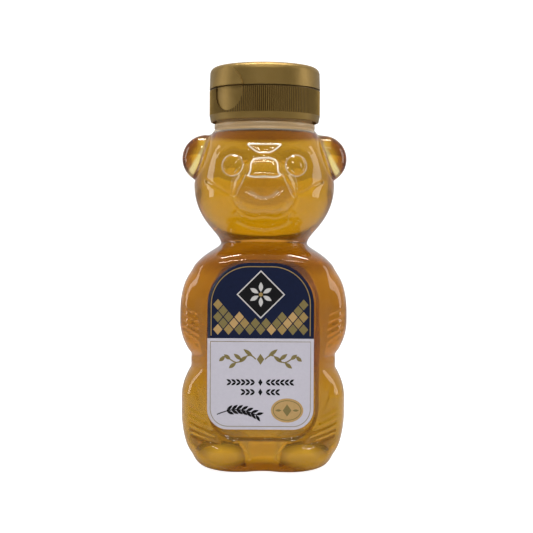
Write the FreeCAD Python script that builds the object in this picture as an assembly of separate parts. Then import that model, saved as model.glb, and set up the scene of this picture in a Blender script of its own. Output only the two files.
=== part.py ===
"""Bear-shaped squeeze bottle of honey with a ribbed flip-top screw cap.

Millimetres, +Z up. The origin is on the neck's axis, at the middle of the base, and the bear faces -Y.
"""
import FreeCAD, Part
import math
import os

V = FreeCAD.Vector

# Bottle: heights above the base
LEG_Z = 21.1  # where the legs are widest
WAIST_Z = 39.2  # groove between the arms and the legs
ARM_Z = 54.6  # where the arms are widest
CHEST_Z = 72.5  # where the chest starts to round over
TORSO_H = 81.5  # crease under the chin
FACE_UP = 19.8  # from the crease to where the head is widest
HEAD_H = 40.0  # from the crease to the foot of the neck
FINISH_H = 11.5  # neck finish, from its foot to the lip

# Bottle: widths, and reaches from the neck's axis to the front and the back
BASE_WIDTH = 35.0
BASE_REACH = 16.5
LEG_SPAN = 58.8
ARM_SPAN = 59.8
BELLY_REACH = 24.2
BACK_REACH = 27.4
CREASE_WIDTH = 31.0
CREASE_REACH = 15.0
COLLAR_H = 12.0  # how far the crease's own roundness reaches up and down
HEAD_WIDTH = 50.8
HEAD_REACH = 23.0
HEAD_DROP = 23.3  # half-height of the head's oval below the face
TOE_ROUND_H = 11.0  # rounding of the body's front and back above the base
WAIST_GROOVE = 3.9
WAIST_FLAT = 2.3  # half-height of the groove's floor
WAIST_SPREAD = 13.5  # half-height of the whole groove

# Bottle: wall, base and neck finish
WALL = 0.6
BASE_WALL = 0.9
NECK_THICKEN_H = 8.0  # stretch under the neck where the wall thickens
DOME_D = 24.0  # pushed-up middle of the base
DOME_H = 2.2
NECK_FOOT_D = 35.8
BEAD_D = 36.4
BEAD_H = 1.9
NECK_D = 35.0
BORE_D = 31.0
BORE_STEP = 0.4  # ledge inside the foot of the neck

# Face, ears and feet
MUZZLE_Z = 98.8
MUZZLE_WIDTH = 23.0
MUZZLE_H = 22.0
MUZZLE_PROUD = 3.6
NOSE_Z = 106.8
NOSE_WIDTH = 10.4
NOSE_H = 7.4
NOSE_PROUD = 1.5
NOSE_ROUND = 6.0  # front-to-back size of the nose's ball
EYE_X = 11.2
EYE_Z = 108.0
EYE_WIDTH = 7.4
EYE_H = 7.8
EYE_PROUD = 1.3
EYE_ROUND = 6.0  # front-to-back size of the eye's ball
EAR_X = 21.3
EAR_Y = 2.0
EAR_Z = 111.4
EAR_D = 17.4
EAR_T = 11.0
FOOT_X = 15.6
FOOT_Z = 4.6
FOOT_WIDTH = 18.0
FOOT_H = 16.0
FOOT_PROUD = 2.4

# Filling
HONEY_GAP = 0.25
FILL_DROP = 1.0  # honey's surface below the foot of the neck

# Label and the panel that it is stuck in
LABEL_WIDTH = 36.8
LABEL_H = 57.7
LABEL_LOW = 16.2
LABEL_TOP_R = 14.5
LABEL_FOOT_R = 7.2
LABEL_T = 0.2
PANEL_MARGIN = 1.1
PANEL_SILL = 4.0  # bare panel under the label
PANEL_FOOT_R = 11.0
PANEL_DEPTH = 1.3

# Screw cap
CAP_D = 40.0
CAP_WALL = 1.1
FOOT_GAP = 0.6  # under the skirt
DECK_T = 1.5
FOOT_BAND_H = 2.4  # plain band under the ribs
FOOT_TAPER = 0.5
CAP_FOOT_R = 0.5
RIB_COUNT = 172
RIB_DEPTH = 0.3
RIB_LAND = 0.3  # plain ring above the ribs
DECK_STEP_H = 0.8
DECK_STEP_GAP = 0.3
SPOUT_D = 11.0
SPOUT_H = 1.6
POUR_HOLE_D = 6.5
THUMB_TURN = 42.0  # degrees from the bear's front to the thumb lip
THUMB_WIDTH = 12.4
THUMB_RECESS_H = 8.4
THUMB_RECESS = 0.6
WASHER_T = 1.0
WASHER_GAP = 0.4
WASHER_HOLE_D = 24.0

# Flip lid and its living hinge
LID_H = 8.2
LID_GAP = 0.3
LID_DRAFT = 0.25
LID_WALL = 1.3
LID_TOP_T = 1.4
LID_EDGE_R = 2.4
LIP_PROUD = 1.0
LIP_WIDTH = 14.2
LIP_H = 7.0
LIP_BULGE_SHARE = 0.64  # how far its arched sides bow out
PLUG_GAP = 0.15
PLUG_DEPTH = 1.3
PLUG_TAPER = 0.5
HINGE_WIDTH = 11.0
HINGE_REACH = 2.2  # above and below the seam
HINGE_T = 0.6
HINGE_GAP = 0.05

# Roundness of the sections: 2 is an ellipse, more is squarer
ROUND = 2
FRONT_SQUARE = 5
BACK_SQUARE = 2.7
SHOULDER_SQUARE = 2.6
MERGE = 9  # how closely head, collar and torso keep their own shapes where they meet
GROOVE_START_SHARE = 0.62  # shares of the half-width between which the waist groove deepens
GROOVE_FULL_SHARE = 0.97
GROOVE_CURVE = 2
BUMP_SQUARE = 2.5  # outline of the muzzle and feet
BUMP_CURVE = 0.9

# How finely the moulded skin is sampled
ANGLES = 84
DEGREE = 3
LOW_STEPS = 9
WAIST_STEPS = 14
SHOULDER_STEPS = 14
JAW_STEPS = 13
CROWN_STEPS = 12
FACE_TRIES = 40  # for finding a point of the face
PROBE = 0.2  # step for measuring the skin's slope
SEAM_FIT = 0.01  # how closely the skin's faces meet
OVERRUN = 5.0  # how far cutting tools run past what they cut

FACE_Z = TORSO_H + FACE_UP
NECK_FOOT_Z = TORSO_H + HEAD_H
LIP_Z = NECK_FOOT_Z + FINISH_H
DECK_Z = LIP_Z + WASHER_T  # underside of the cap's deck
SEAM_Z = DECK_Z + DECK_T
CAP_FOOT_Z = NECK_FOOT_Z + BEAD_H + FOOT_GAP
CAP_BORE = CAP_D - 2 * CAP_WALL
PANEL_Y = PANEL_DEPTH - BELLY_REACH


def ease(t):
    """Go smoothly from 0 to 1 as t does."""
    t = min(1, max(0, t))
    return t * t * (3 - 2 * t)


def oval(t, power):
    """Half-width of a unit oval at t of its half-height."""
    return max(0, 1 - abs(t) ** power) ** (1 / power)


def torso_half(z, base, low, high, low_z, high_z):
    """Half-size of the torso: rounded up from the base, steady, then rounded over to the crease."""
    if z < low_z:
        return base + (low - base) * oval(1 - z / low_z, ROUND)
    if z < high_z:
        return low + (high - low) * ease((z - low_z) / (high_z - low_z))
    return high * oval((z - high_z) / (TORSO_H - high_z), SHOULDER_SQUARE)


def head_half(z, half):
    """Half-size of the head, an oval that runs up into the foot of the neck."""
    if z < FACE_Z:
        return half * oval((FACE_Z - z) / HEAD_DROP, ROUND)
    crown = (NECK_FOOT_Z - FACE_Z) / oval(NECK_FOOT_D / 2 / half, ROUND)
    return half * oval((z - FACE_Z) / crown, ROUND)


def collar_half(z, half):
    """Half-size of the crease between head and torso."""
    return half * oval((z - TORSO_H) / COLLAR_H, ROUND)


def merged(*halves):
    """The largest of some half-sizes, with a fillet where they change places."""
    return sum(half ** MERGE for half in halves) ** (1 / MERGE)


def bump(across, up, width, height):
    """Height of a rounded swelling, 1 at its middle and 0 at its oval edge."""
    left = 1 - abs(2 * across / width) ** BUMP_SQUARE - abs(2 * up / height) ** BUMP_SQUARE
    return max(0, left) ** BUMP_CURVE


def waist_groove(across_share, z):
    """Depth of the groove between arm and leg, which runs out towards the front and back."""
    away = (abs(z - WAIST_Z) - WAIST_FLAT) / (WAIST_SPREAD - WAIST_FLAT)
    depth = WAIST_GROOVE * (1 - min(1, max(0, away))) ** GROOVE_CURVE
    return depth * ease((across_share - GROOVE_START_SHARE) / (GROOVE_FULL_SHARE - GROOVE_START_SHARE))


def skin(angle, z):
    """Outer radius of the moulded bear at an angle about the neck's axis and a height."""
    across, ahead = math.cos(angle), -math.sin(angle)
    width = merged(
        torso_half(z, BASE_WIDTH / 2, LEG_SPAN / 2, ARM_SPAN / 2, LEG_Z, ARM_Z),
        collar_half(z, CREASE_WIDTH / 2),
        head_half(z, HEAD_WIDTH / 2),
    )
    reach, turn_z, square = BACK_REACH, ARM_Z, BACK_SQUARE
    if ahead > 0:
        reach, turn_z, square = BELLY_REACH, CHEST_Z, FRONT_SQUARE
    depth = merged(
        torso_half(z, BASE_REACH, reach, reach, TOE_ROUND_H, turn_z),
        collar_half(z, CREASE_REACH),
        head_half(z, HEAD_REACH),
    )
    power = square + (ROUND - square) * ease((z - CHEST_Z) / (TORSO_H - CHEST_Z))
    radius = (abs(across / width) ** power + abs(ahead / depth) ** power) ** (-1 / power)
    x = radius * across
    radius -= waist_groove(abs(x) / width, z)
    if ahead > 0:
        radius += MUZZLE_PROUD * bump(x, z - MUZZLE_Z, MUZZLE_WIDTH, MUZZLE_H)
        radius += FOOT_PROUD * bump(abs(x) - FOOT_X, z - FOOT_Z, FOOT_WIDTH, FOOT_H)
    return radius


def skin_inside(angle, z, inset):
    """Radius of the surface that lies inset under the skin, and deeper where the neck is thick."""
    radius = skin(angle, z)
    if not inset:
        return radius
    turn = PROBE / radius
    rise = (skin(angle, z + PROBE) - skin(angle, z - PROBE)) / (2 * PROBE)
    swing = (skin(angle + turn, z) - skin(angle - turn, z)) / (2 * PROBE)
    depth = inset * math.sqrt(1 + rise ** 2 + swing ** 2)
    neck_depth = inset - WALL - BORE_STEP + (NECK_FOOT_D - BORE_D) / 2
    thick = ease((z - NECK_FOOT_Z) / NECK_THICKEN_H + 1)
    return radius - depth - (neck_depth - depth) * thick


def section_heights(low, high):
    """Heights of the bear's sections, closer together where its outline turns quickly."""
    quarter = math.pi / 2
    heights = [LEG_Z * (1 - math.cos(quarter * i / LOW_STEPS)) for i in range(LOW_STEPS)]
    heights += [LEG_Z + (ARM_Z - LEG_Z) * i / WAIST_STEPS for i in range(WAIST_STEPS)]
    turns = [quarter * i / SHOULDER_STEPS for i in range(SHOULDER_STEPS)]
    heights += [ARM_Z + (TORSO_H - ARM_Z) * math.sin(turn) for turn in turns]
    heights += [TORSO_H + FACE_UP * i / JAW_STEPS for i in range(JAW_STEPS)]
    heights += [FACE_Z + (NECK_FOOT_Z - FACE_Z) * i / CROWN_STEPS for i in range(CROWN_STEPS + 1)]
    return [low] + [z for z in heights if low + PROBE < z < high - PROBE] + [high]


def moulded_skin(inset, low, high):
    """Solid under the bear's skin: one smooth surface over a net of points, with flat ends."""
    net = []
    for i in range(ANGLES):
        angle = math.pi / 2 + 2 * math.pi * i / ANGLES
        column = []
        for z in section_heights(low, high):
            radius = skin_inside(angle, z, inset)
            column.append(V(radius * math.cos(angle), radius * math.sin(angle), z))
        net.append(column)
    spans = len(net[0]) - DEGREE
    end = [DEGREE + 1]
    surface = Part.BSplineSurface()
    surface.buildFromPolesMultsKnots(
        net,
        [1] * (ANGLES + 1),
        end + [1] * (spans - 1) + end,
        list(range(ANGLES + 1)),
        list(range(spans + 1)),
        True,
        False,
        DEGREE,
        DEGREE,
    )
    side = surface.toShape()
    lids = [Part.Face(Part.Wire([edge])) for z in (low, high) for edge in rims(side, z)]
    solid = Part.makeSolid(Part.makeShell([side] + lids))
    solid.fix(SEAM_FIT, SEAM_FIT, SEAM_FIT)
    return solid


def ball(width, depth, height, centre):
    """An ellipsoid of the given full sizes."""
    matrix = FreeCAD.Matrix()
    matrix.scale(width / 2, depth / 2, height / 2)
    matrix.move(centre)
    return Part.makeSphere(1).transformGeometry(matrix)


def on_face(x, z, proud, depth):
    """Middle of a ball of the given front-to-back size that stands proud of the face at x and z."""
    angle = -math.pi / 2
    for _ in range(FACE_TRIES):
        angle = -math.acos(x / skin(angle, z))
    reach = -skin(angle, z) * math.sin(angle)
    return V(x, depth / 2 - proud - reach, z)


def panel_outline(half, low, high, low_r, high_r, y):
    """Face upright at y with rounded lower and upper corners."""
    corners = (
        (half - low_r, low + low_r, low_r),
        (half - high_r, high - high_r, high_r),
        (high_r - half, high - high_r, high_r),
        (low_r - half, low + low_r, low_r),
    )
    arcs = []
    for i, (x, z, r) in enumerate(corners):
        turns = [math.pi / 4 * (2 * i - 2 + k) for k in range(3)]
        arcs.append(Part.Arc(*[V(x + r * math.cos(t), y, z + r * math.sin(t)) for t in turns]).toShape())
    edges = []
    for arc, following in zip(arcs, arcs[1:] + arcs[:1]):
        edges += [arc, Part.makeLine(arc.Vertexes[-1].Point, following.Vertexes[0].Point)]
    return Part.Face(Part.Wire(edges))


def label_panel(inset):
    """Tool that cuts the flat front panel; inset makes the one for the inside of the wall."""
    face = panel_outline(
        LABEL_WIDTH / 2 + PANEL_MARGIN + inset,
        LABEL_LOW - PANEL_SILL - inset,
        LABEL_LOW + LABEL_H + PANEL_MARGIN + inset,
        PANEL_FOOT_R + inset,
        LABEL_TOP_R + PANEL_MARGIN + inset,
        PANEL_Y + inset,
    )
    return face.extrude(V(0, -OVERRUN, 0))


def base_dome(inset):
    """Ball that pushes up the middle of the base."""
    radius = ((DOME_D / 2) ** 2 + DOME_H ** 2) / (2 * DOME_H)
    return Part.makeSphere(radius + inset, V(0, 0, DOME_H - radius))


def bear(inset, low, high):
    """The bear's solid, inset under its skin, between two heights."""
    body = moulded_skin(inset, low, high)
    thinner = 2 * inset
    lumps = [
        ball(
            NOSE_WIDTH - thinner,
            NOSE_ROUND - thinner,
            NOSE_H - thinner,
            on_face(0, NOSE_Z, NOSE_PROUD, NOSE_ROUND),
        )
    ]
    for side in (-1, 1):
        eye = on_face(EYE_X, EYE_Z, EYE_PROUD, EYE_ROUND)
        eye.x *= side
        lumps.append(ball(EYE_WIDTH - thinner, EYE_ROUND - thinner, EYE_H - thinner, eye))
        ear = V(side * EAR_X, EAR_Y, EAR_Z)
        lumps.append(ball(EAR_D - thinner, EAR_T - thinner, EAR_D - thinner, ear))
    return body.fuse(lumps).cut([label_panel(inset), base_dome(inset)])


def rod(diameter, low, high):
    """Upright round rod on the neck's axis."""
    return Part.makeCylinder(diameter / 2, high - low, V(0, 0, low))


def rims(shape, z):
    """Edges of a shape that lie level at a height."""
    return [e for e in shape.Edges if e.BoundBox.ZMin > z - PROBE and e.BoundBox.ZMax < z + PROBE]


def bottle():
    """Blow-moulded shell with its neck finish."""
    outside = bear(0, 0, NECK_FOOT_Z)
    outside = outside.fuse([rod(BEAD_D, NECK_FOOT_Z, NECK_FOOT_Z + BEAD_H), rod(NECK_D, NECK_FOOT_Z, LIP_Z)])
    inside = bear(WALL, BASE_WALL, NECK_FOOT_Z)
    return outside.cut([inside, rod(BORE_D, NECK_FOOT_Z, LIP_Z + OVERRUN)]).removeSplitter()


def honey():
    """The filling, up to just under the neck."""
    return bear(WALL + HONEY_GAP, BASE_WALL + HONEY_GAP, NECK_FOOT_Z - FILL_DROP)


def front_label():
    """Paper label on the floor of the panel."""
    high = LABEL_LOW + LABEL_H
    face = panel_outline(LABEL_WIDTH / 2, LABEL_LOW, high, LABEL_FOOT_R, LABEL_TOP_R, PANEL_Y)
    return face.extrude(V(0, -LABEL_T, 0))


def sealing_washer():
    """Foam ring on the bottle's lip."""
    ring = rod(CAP_BORE - 2 * WASHER_GAP, LIP_Z, DECK_Z)
    return ring.cut(rod(WASHER_HOLE_D, LIP_Z - OVERRUN, DECK_Z + OVERRUN))


def rib_band(low, high):
    """Band of fine upright ribs round the cap."""
    points = []
    for i in range(2 * RIB_COUNT):
        radius = CAP_D / 2 - RIB_DEPTH * (i % 2)
        angle = math.pi * i / RIB_COUNT
        points.append(V(radius * math.cos(angle), radius * math.sin(angle), low))
    return Part.Face(Part.makePolygon(points + points[:1])).extrude(V(0, 0, high - low))


def thumb_recess():
    """Tool for the U-shaped finger recess in the skirt, under the lid's lip."""
    half = THUMB_WIDTH / 2
    floor_z = SEAM_Z - THUMB_RECESS_H + half
    out = V(0, -CAP_D, 0)
    scoop = Part.makeBox(THUMB_WIDTH, CAP_D, SEAM_Z + OVERRUN - floor_z, V(-half, -CAP_D, floor_z))
    scoop = scoop.fuse(Part.makeCylinder(half, CAP_D, V(0, 0, floor_z), out))
    return scoop.cut(rod(CAP_D - 2 * THUMB_RECESS, CAP_FOOT_Z, SEAM_Z + 2 * OVERRUN))


def cap_base():
    """Ribbed screw cap with a stepped deck, a low spout and a pour hole."""
    foot = Part.makeCone(CAP_D / 2 - FOOT_TAPER, CAP_D / 2, FOOT_BAND_H, V(0, 0, CAP_FOOT_Z))
    foot = foot.makeFillet(CAP_FOOT_R, rims(foot, CAP_FOOT_Z))
    band_high = SEAM_Z - RIB_LAND
    step_high = SEAM_Z + DECK_STEP_H
    step_d = CAP_D - 2 * (LID_WALL + DECK_STEP_GAP)
    body = foot.fuse(
        [
            rib_band(CAP_FOOT_Z + FOOT_BAND_H, band_high),
            rod(CAP_D - 2 * RIB_DEPTH, band_high, SEAM_Z),
            rod(step_d, SEAM_Z, step_high),
            rod(SPOUT_D, step_high, step_high + SPOUT_H),
        ]
    )
    bore = rod(CAP_BORE, CAP_FOOT_Z - OVERRUN, DECK_Z)
    pour_hole = rod(POUR_HOLE_D, DECK_Z - OVERRUN, step_high + SPOUT_H + OVERRUN)
    return turned_to_thumb(body.cut([bore, pour_hole, thumb_recess()]))


def thumb_lip(low):
    """Shield-shaped lip that flares out at the front of the lid's rim."""
    flare = Part.makeCone(CAP_D / 2 + LIP_PROUD, CAP_D / 2 - LID_DRAFT, LIP_H, V(0, 0, low))
    half = LIP_WIDTH / 2
    left, right, apex = V(-half, 0, low), V(half, 0, low), V(0, 0, low + LIP_H)
    bulge = V(half * LIP_BULGE_SHARE, 0, low + LIP_H * LIP_BULGE_SHARE)
    sides = [
        Part.Arc(right, bulge, apex).toShape(),
        Part.Arc(apex, V(-bulge.x, 0, bulge.z), left).toShape(),
    ]
    shield = Part.Face(Part.Wire(sides + [Part.makeLine(left, right)]))
    return flare.common(shield.extrude(V(0, -CAP_D, 0)))


def flip_lid():
    """Hollow hinged lid with a plug for the pour hole."""
    low = SEAM_Z + LID_GAP
    high = SEAM_Z + LID_H
    shell = Part.makeCone(CAP_D / 2, CAP_D / 2 - LID_DRAFT, high - low, V(0, 0, low))
    shell = shell.makeFillet(LID_EDGE_R, rims(shell, high))
    ceiling = high - LID_TOP_T
    spout_top = SEAM_Z + DECK_STEP_H + SPOUT_H
    plug_r = POUR_HOLE_D / 2 - PLUG_GAP
    plug = rod(2 * plug_r, spout_top, ceiling + LID_TOP_T / 2)
    tip = Part.makeCone(plug_r - PLUG_TAPER, plug_r, PLUG_DEPTH, V(0, 0, spout_top - PLUG_DEPTH))
    hollow = rod(CAP_D - 2 * LID_WALL, low - OVERRUN, ceiling)
    return turned_to_thumb(shell.fuse(thumb_lip(low)).cut(hollow).fuse([plug, tip]))


def living_hinge():
    """Thin web across the seam, opposite the thumb lip."""
    low, high = SEAM_Z - HINGE_REACH, SEAM_Z + LID_GAP + HINGE_REACH
    inner = CAP_D + 2 * HINGE_GAP
    web = rod(inner + 2 * HINGE_T, low, high).cut(rod(inner, low - OVERRUN, high + OVERRUN))
    strip = Part.makeBox(HINGE_WIDTH, CAP_D, high - low, V(-HINGE_WIDTH / 2, 0, low))
    return turned_to_thumb(web.common(strip))


def turned_to_thumb(shape):
    """Turn a cap piece from the bear's front to where the cap came to rest on its thread."""
    shape.rotate(V(0, 0, 0), V(0, 0, 1), -THUMB_TURN)
    return shape


os.makedirs("parts", exist_ok=True)
for piece in (bottle, honey, front_label, sealing_washer, cap_base, flip_lid, living_hinge):
    piece().exportStep("parts/" + piece.__name__ + ".step")
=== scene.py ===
"""Bear-shaped squeeze bottle of honey with a gold flip-top screw cap.

Sizes are written in millimetres and turn to metres where a mesh is made. The bear stands on z = 0 with its
neck on the Z axis, and faces -Y.
"""

import math

import bpy
import mathutils
import numpy as np
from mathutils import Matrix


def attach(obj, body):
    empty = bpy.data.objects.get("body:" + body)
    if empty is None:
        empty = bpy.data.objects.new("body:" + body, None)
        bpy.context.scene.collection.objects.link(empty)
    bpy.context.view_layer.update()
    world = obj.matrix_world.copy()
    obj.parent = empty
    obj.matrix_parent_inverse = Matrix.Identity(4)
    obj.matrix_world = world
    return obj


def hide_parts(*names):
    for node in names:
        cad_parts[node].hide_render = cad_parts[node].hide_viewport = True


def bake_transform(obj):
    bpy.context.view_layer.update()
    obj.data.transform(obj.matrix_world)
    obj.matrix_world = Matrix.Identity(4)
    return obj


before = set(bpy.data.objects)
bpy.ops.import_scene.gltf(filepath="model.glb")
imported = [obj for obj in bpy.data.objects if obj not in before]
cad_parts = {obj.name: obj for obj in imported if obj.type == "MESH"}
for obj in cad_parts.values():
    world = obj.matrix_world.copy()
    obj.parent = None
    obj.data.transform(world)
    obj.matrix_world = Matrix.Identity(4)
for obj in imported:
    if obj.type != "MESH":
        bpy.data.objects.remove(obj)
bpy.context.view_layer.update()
bpy.context.scene.view_settings.view_transform = "Standard"

# Bottle: a clear PET bear, blow-moulded in one piece. The mould gives it the face, ears, paws and feet, a
# flat panel for the label and a pushed-up base. The threaded neck keeps the thicker wall of the preform.
MM = 0.001
LEG_Z = 21.1
WAIST_Z = 39.2
ARM_Z = 54.6
CHEST_Z = 72.5
TORSO_H = 81.5
FACE_Z = 101.3
NECK_FOOT_Z = 121.5
LIP_Z = 133.0
BASE_WIDTH = 36.0
BASE_REACH = 16.5
LEG_SPAN = 58.2
ARM_SPAN = 59.4
BELLY_REACH = 24.2
BACK_REACH = 27.35
CREASE_WIDTH = 31.0
CREASE_REACH = 15.0
COLLAR_H = 12.0
HEAD_WIDTH = 50.8
HEAD_REACH = 23.0
HEAD_DROP = 23.3
TOE_ROUND_H = 11.0
WAIST_GROOVE = 3.9
WAIST_FLAT = 2.3
WAIST_SPREAD = 13.5
WAIST_FROM = 0.62
WAIST_FADE = 0.35
WALL = 0.6
BASE_WALL = 0.9
NECK_THICKEN_H = 8.0
DOME_D = 24.0
DOME_H = 2.2
NECK_FOOT_D = 35.8
BEAD_D = 36.4
BEAD_H = 1.9
BEAD_LIFT = 0.02
NECK_D = 35.0
BORE_D = 31.0
EDGE_R = 0.3
FOOT_SQUARE = 2.3
FRONT_SQUARE = 5
BACK_SQUARE = 2.7
SHOULDER_SQUARE = 2.5
MERGE = 9


def ease(t):
    """Go smoothly from 0 to 1 as t does."""
    t = np.clip(t, 0, 1)
    return t * t * (3 - 2 * t)


def oval(t, power):
    """Half-width of a unit oval at t of its half-height."""
    return np.maximum(0, 1 - np.abs(t) ** power) ** (1 / power)


def torso_half(z, base, low, high, low_z, high_z):
    """Half-size of the torso: rounded up from the base, steady, then rounded over to the crease."""
    foot = base + (low - base) * oval(np.clip(1 - z / low_z, 0, 1), 2)
    side = low + (high - low) * ease((z - low_z) / (high_z - low_z))
    shoulder = high * oval(np.clip((z - high_z) / (TORSO_H - high_z), 0, 1), SHOULDER_SQUARE)
    return np.where(z < low_z, foot, np.where(z < high_z, side, shoulder))


def head_half(z, half):
    """Half-size of the head, an oval that runs up into the foot of the neck."""
    crown = (NECK_FOOT_Z - FACE_Z) / oval(NECK_FOOT_D / 2 / half, 2)
    reach = np.where(z < FACE_Z, HEAD_DROP, crown)
    return half * oval((z - FACE_Z) / reach, 2)


def merged(*halves):
    """The largest of some half-sizes, with a fillet where they change places."""
    return sum(half ** MERGE for half in halves) ** (1 / MERGE)


def outline_half(z, torso, crease, head):
    """Half-width or half-depth of the whole bear from those of its torso, crease and head."""
    collar = crease * oval((z - TORSO_H) / COLLAR_H, 2)
    return merged(torso, collar, head_half(z, head))


def bump(across, up, width, height, square=2.5, curve=0.9):
    """Height of a rounded swelling, 1 at its middle and 0 at its oval edge."""
    left = 1 - np.abs(2 * across / width) ** square - np.abs(2 * up / height) ** square
    return np.maximum(0, left) ** curve


def stroke(across, up, points, half):
    """Profile of a line through some points: 1 on the line, 0 from its half-width outwards."""
    line = np.array(points, float)
    for _ in range(2):
        cut = np.stack((line[:-1] * 0.75 + line[1:] * 0.25, line[:-1] * 0.25 + line[1:] * 0.75), axis=1)
        line = np.concatenate((line[:1], cut.reshape(-1, 2), line[-1:]))
    nearest = np.full_like(across, half)
    for start, end in zip(line, line[1:]):
        along = end - start
        share = ((across - start[0]) * along[0] + (up - start[1]) * along[1]) / (along @ along)
        share = np.clip(share, 0, 1)
        away = np.hypot(across - start[0] - share * along[0], up - start[1] - share * along[1])
        nearest = np.minimum(nearest, away)
    return (1 - (nearest / half) ** 2) ** 2


def within_outline(x, z, half, low, high, low_r, high_r):
    """Distance inside an upright outline with rounded lower and upper corners."""
    middle = (low + high) / 2
    corner = np.where(z < middle, low_r, high_r)
    across = np.abs(x) - half + corner
    up = np.abs(z - middle) - (high - low) / 2 + corner
    outside = np.hypot(np.maximum(across, 0), np.maximum(up, 0))
    return corner - outside - np.minimum(np.maximum(across, up), 0)


# Swellings of the mould: middle across and up, width, height, squareness, edge curve and height over the skin
SWELLINGS = (
    (0.0, 98.8, 23.0, 22.0, 2.5, 0.9, 3.3),  # muzzle
    (15.5, 93.5, 15.0, 13.0, 2.5, 1.3, 0.7),  # jowls
    (15.6, 3.8, 19.0, 17.0, 2.5, 1.3, 2.5),  # feet
    (0.0, 0.0, 13.0, 13.0, 2.5, 1.3, -2.4),  # hollow between the feet
    (12.4, 6.4, 14.0, 9.0, 2.5, 1.2, 0.25),  # foot pads
    (11.0, 107.6, 12.4, 11.4, 2.0, 1.2, -0.7),  # eye sockets
    (11.05, 107.8, 7.2, 7.5, 2.0, 1.0, 0.6),  # domes of the eyes
    (10.8, 107.4, 4.2, 4.4, 2.0, 1.2, 0.25),  # pupils
)
# Flat-topped lands: middle across, half-width, foot and top, corner radii, width of the edge and height
LANDS = (
    (0.0, 4.6, 103.6, 109.9, 1.3, 4.2, 0.8, 0.5),  # nose
    (11.05, 3.6, 104.05, 111.55, 3.59, 3.59, 0.8, 0.65),  # rims of the eyes
)
# Lines of the mould: half-width, height over the skin, and points across and up
NOSE_LINE = ((0, 110.0), (3.0, 110.0), (4.7, 108.4), (4.6, 105.4), (5.6, 104.0), (4.4, 103.3), (0, 103.4))
TUFT_LINE = ((0, 114.9), (5.6, 114.9), (5.8, 114.7), (2.4, 111.9), (0, 111.9))
LINES = (
    (0.9, -0.8, ((0, 90.3), (1.6, 90.0), (4.2, 89.5), (8.3, 91.6), (10.4, 94.2), (10.9, 96.0))),  # lower lip
    (0.8, -0.5, ((7.5, 94.7), (10.6, 90.7))),  # corners of the mouth
    (1.1, -0.8, ((0, 96.3), (2.6, 96.8), (5.3, 99.0))),  # smile
    (1.0, -0.5, ((0, 85.7), (4.8, 86.3), (9.1, 88.4))),  # chin
    (0.9, -0.5, ((9.8, 97.7), (13.3, 97.9), (15.8, 99.4), (20.2, 102.1))),  # cheeks
    (0.9, -0.4, ((9.8, 97.7), (8.0, 100.2), (6.6, 103.4))),  # sides of the muzzle
    (0.7, -0.4, ((7.6, 108.4), (5.2, 108.6))),  # corners of the eyes
    (1.6, 0.35, ((6.0, 113.0), (10.5, 114.4), (15.4, 112.2))),  # brows
    (0.6, 0.35, NOSE_LINE),
    (0.6, 0.45, TUFT_LINE),
    (3.4, -0.5, ((24.9, 70.0), (24.8, 62.0), (23.8, 55.0), (23.0, 48.5), (23.6, 42.0))),  # inside the arms
    (0.8, -0.45, ((27.9, 57.4), (25.6, 56.0), (23.6, 55.4))),  # paws
    (0.8, -0.5, ((27.9, 55.3), (25.6, 53.7), (23.4, 52.8))),
    (0.8, -0.5, ((27.9, 53.2), (25.4, 51.4), (23.2, 50.4))),
    (0.8, -0.5, ((27.6, 51.0), (25.2, 49.2), (23.2, 48.0))),
    (0.8, -0.45, ((27.0, 48.6), (25.0, 47.0), (23.4, 45.8))),
    (1.1, -0.25, ((23.6, 31.0), (20.6, 22.4), (18.7, 18.0), (15.9, 14.5), (12.7, 12.5), (8.8, 11.7))),  # legs
    (1.1, -0.5, ((8.8, 11.7), (7.2, 9.9), (6.2, 7.4), (6.2, 4.4))),  # insides of the feet
    (0.8, -0.3, ((25.4, 23.6), (23.4, 22.6), (21.4, 21.4))),  # fur of the legs
    (0.8, -0.32, ((25.4, 21.2), (23.4, 20.4), (20.0, 18.8))),
    (0.8, -0.35, ((25.4, 18.8), (23.2, 17.8), (17.9, 15.7))),
    (0.9, -0.4, ((25.0, 16.2), (22.2, 15.1), (16.7, 13.2))),
    (1.0, -0.5, ((24.4, 14.0), (20.3, 12.7), (14.5, 10.9))),
)


def relief(x, z):
    """Height of the mould's relief over the front of the plain bear, the same on both sides."""
    side = np.abs(x)
    height = 0 * x
    for across, up, width, tall, square, curve, proud in SWELLINGS:
        height += proud * bump(side - across, z - up, width, tall, square, curve)
    for across, half, low, high, low_r, high_r, edge, proud in LANDS:
        height += proud * ease(within_outline(side - across, z, half, low, high, low_r, high_r) / edge)
    for half, proud, points in LINES:
        left, right = min(p[0] for p in points) - half, max(p[0] for p in points) + half
        low, high = min(p[1] for p in points) - half, max(p[1] for p in points) + half
        near = (side > left) & (side < right) & (z > low) & (z < high)
        height[near] += proud * stroke(side[near], z[near], points, half)
    return height


# Ears: round cushions that run into the sides of the head with a fillet, where the head is a little dented
EAR_X, EAR_Y, EAR_Z = 21.3, 2.0, 111.1
EAR_D = 17.3
EAR_T = 11.0
EAR_SQUARE = 2.2
EAR_FILLET = 1.2
EAR_DENT, DENT_Y, DENT_WIDTH, DENT_H = 1.4, 1.0, 28.0, 18.0
EAR_STEPS = 60


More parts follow.
